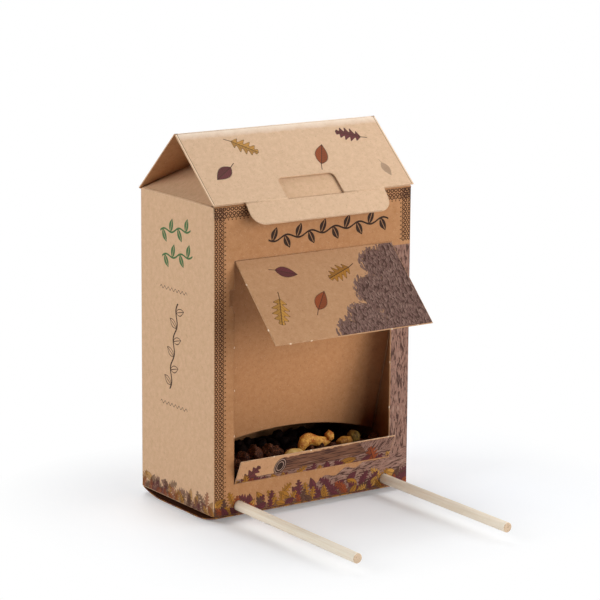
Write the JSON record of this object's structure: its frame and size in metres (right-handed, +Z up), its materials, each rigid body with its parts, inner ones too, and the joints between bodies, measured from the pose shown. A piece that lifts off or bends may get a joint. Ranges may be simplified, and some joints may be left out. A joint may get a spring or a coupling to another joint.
{
  "type": "wildlife feeder",
  "caption": "Folded board wildlife feeder with a gabled lid, a feeding window under an open awning flap, a hopper divider and two wooden perch rods.",
  "frame": {"origin": "on the floor, at the middle of the bottom panel's flat resting strip", "axes": "+Z up, -Y out of the feeding window, +X to the right as seen by someone facing the window"},
  "size_m": [0.1424, 0.22, 0.2257],
  "materials": {
    "printed_board": "uncoated brown kraft board with printed leaf ornament",
    "plain_board": "uncoated brown kraft board",
    "rod_wood": "plain birch dowel, sanded, unvarnished",
    "feed": "dark rough feed nuggets",
    "nut": "matte shelled nuts"
  },
  "bodies": {
    "root": {"front_panel": "printed_board", "left_panel": "printed_board", "right_panel": "printed_board", "back_panel": "printed_board", "glue_flap": "plain_board", "bottom_panel": "printed_board", "bottom_side_flap_left": "printed_board", "bottom_side_flap_right": "printed_board", "bottom_tuck_flap": "plain_board", "hopper_divider": "plain_board", "divider_flange": "plain_board", "divider_tab_left": "plain_board", "divider_tab_right": "plain_board", "feed_bed": "feed", "nut_bowed": "nut", "nut_pale": "nut"},
    "awning": {"awning_flap": "printed_board"},
    "lip": {"lower_lip": "printed_board"},
    "lid_back": {"roof_back_panel": "printed_board"},
    "lid_front": {"roof_front_panel": "printed_board"},
    "tongue": {"roof_tuck_tongue": "printed_board"},
    "inner_leaf": {"inner_roof_leaf": "plain_board"},
    "gable_left": {"gable_flap_left": "printed_board"},
    "gable_right": {"gable_flap_right": "printed_board"},
    "rod_left": {"perch_rod_left": "rod_wood"},
    "rod_right": {"perch_rod_right": "rod_wood"}
  },
  "joints": [
    {"name": "awning_crease", "type": "hinge", "parent": "root", "child": "awning", "pos_m": [0, -0.041, 0.1562], "axis": [-1, 0, 0], "range_deg": [-45.7, 64]},
    {"name": "lip_crease", "type": "hinge", "parent": "root", "child": "lip", "pos_m": [0, -0.041, 0.0228], "axis": [1, 0, 0], "range_deg": [-25.5, 63]},
    {"name": "lid_crease", "type": "hinge", "parent": "root", "child": "lid_back", "pos_m": [0, 0.041, 0.1883], "axis": [-1, 0, 0], "range_deg": [0, 120]},
    {"name": "ridge_crease", "type": "hinge", "parent": "lid_back", "child": "lid_front", "pos_m": [0, 0, 0.2263], "axis": [-1, 0, 0], "range_deg": [0, 84]},
    {"name": "tongue_crease", "type": "hinge", "parent": "lid_front", "child": "tongue", "pos_m": [0, -0.0421, 0.1897], "axis": [-1, 0, 0], "range_deg": [-38, 60]},
    {"name": "inner_leaf_crease", "type": "hinge", "parent": "root", "child": "inner_leaf", "pos_m": [0, -0.0402, 0.1883], "axis": [-1, 0, 0], "range_deg": [0, 20]},
    {"name": "gable_crease_left", "type": "hinge", "parent": "root", "child": "gable_left", "pos_m": [-0.0692, 0, 0.1883], "axis": [0, 1, 0], "range_deg": [0, 28]},
    {"name": "gable_crease_right", "type": "hinge", "parent": "root", "child": "gable_right", "pos_m": [0.0692, 0, 0.1883], "axis": [0, -1, 0], "range_deg": [0, 28]},
    {"name": "rod_left_slide", "type": "slide", "parent": "root", "child": "rod_left", "axis": [0, -1, 0], "range_m": [-0.1, 0.105]},
    {"name": "rod_right_slide", "type": "slide", "parent": "root", "child": "rod_right", "axis": [0, -1, 0], "range_m": [-0.1, 0.105]}
  ],
  "couplings": [
    {"joint": "gable_crease_left", "follows": "inner_leaf_crease", "ratio": 1.25},
    {"joint": "gable_crease_right", "follows": "inner_leaf_crease", "ratio": 1.25}
  ]
}
